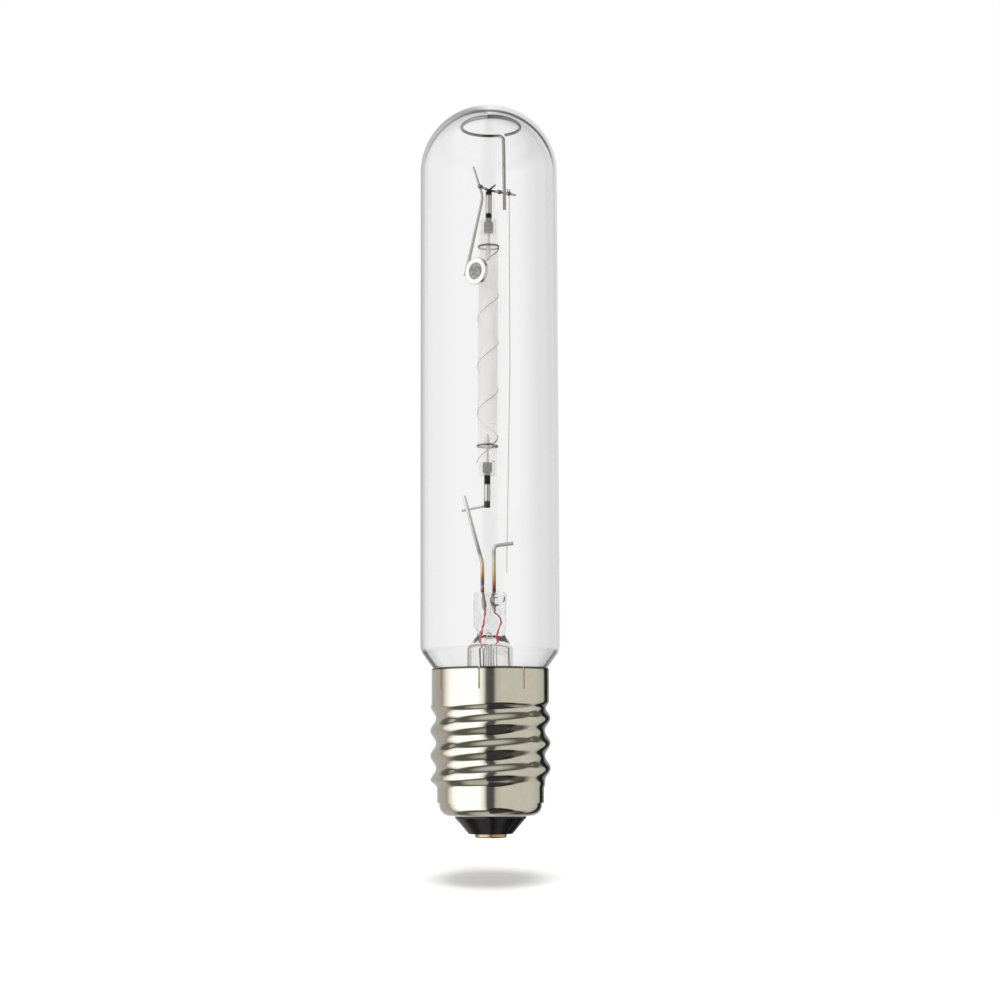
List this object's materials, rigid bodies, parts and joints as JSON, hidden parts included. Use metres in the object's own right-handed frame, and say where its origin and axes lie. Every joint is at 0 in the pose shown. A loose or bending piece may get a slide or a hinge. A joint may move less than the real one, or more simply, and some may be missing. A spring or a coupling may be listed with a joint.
{
  "type": "tubular high-pressure sodium lamp",
  "caption": "Clear tubular glass discharge lamp with a domed end, a ceramic arc tube on a wire mount inside, and a large screw cap with a centre contact.",
  "frame": {"origin": "middle of the centre contact's flat underside, on the lamp's axis", "axes": "+Z along the lamp's axis, from the cap to the dome; -Y is the side the getter faces"},
  "size_m": [0.046, 0.046, 0.2448],
  "materials": {
    "nickel_plate": "polished nickel plate on brass",
    "black_glass": "glossy black moulded glass",
    "contact_brass": "satin brass",
    "solder": "dull tin solder",
    "cement": "matte basing cement",
    "clear_glass": "clear hard glass",
    "stem_glass": "clear stem glass",
    "lead_metal": "drawn nickel wire",
    "seal_metal": "oxidised copper-clad seal wire",
    "copper": "drawn copper wire",
    "alumina": "translucent white ceramic",
    "frit": "sealing glass",
    "niobium": "satin niobium",
    "tungsten": "drawn tungsten",
    "amalgam": "liquid-bright amalgam",
    "getter_metal": "bright nickel-plated pan",
    "getter_compound": "pressed getter powder"
  },
  "bodies": {
    "root": {"screw_shell": "nickel_plate", "insulator": "black_glass", "centre_contact": "contact_brass", "contact_solder": "solder", "basing_cement": "cement", "outer_bulb": "clear_glass", "stem": "stem_glass", "arc_tube_lead": "lead_metal", "frame_lead": "lead_metal", "left_seal_wire": "seal_metal", "right_seal_wire": "seal_metal", "contact_lead": "copper", "shell_lead": "copper", "shell_solder": "solder", "arc_tube": "alumina", "top_end_plug": "alumina", "bottom_end_plug": "alumina", "top_seal_frit": "frit", "bottom_seal_frit": "frit", "top_niobium_tube": "niobium", "bottom_niobium_tube": "niobium", "top_electrode": "tungsten", "bottom_electrode": "tungsten", "top_electrode_coil": "tungsten", "bottom_electrode_coil": "tungsten", "sodium_amalgam": "amalgam", "starter_wire": "niobium", "bottom_cross_strap": "lead_metal", "top_cross_wire": "lead_metal", "return_wire": "lead_metal", "dome_ring": "lead_metal", "getter_wire": "lead_metal", "getter_pan": "getter_metal", "getter_fill": "getter_compound"}
  },
  "joints": []
}
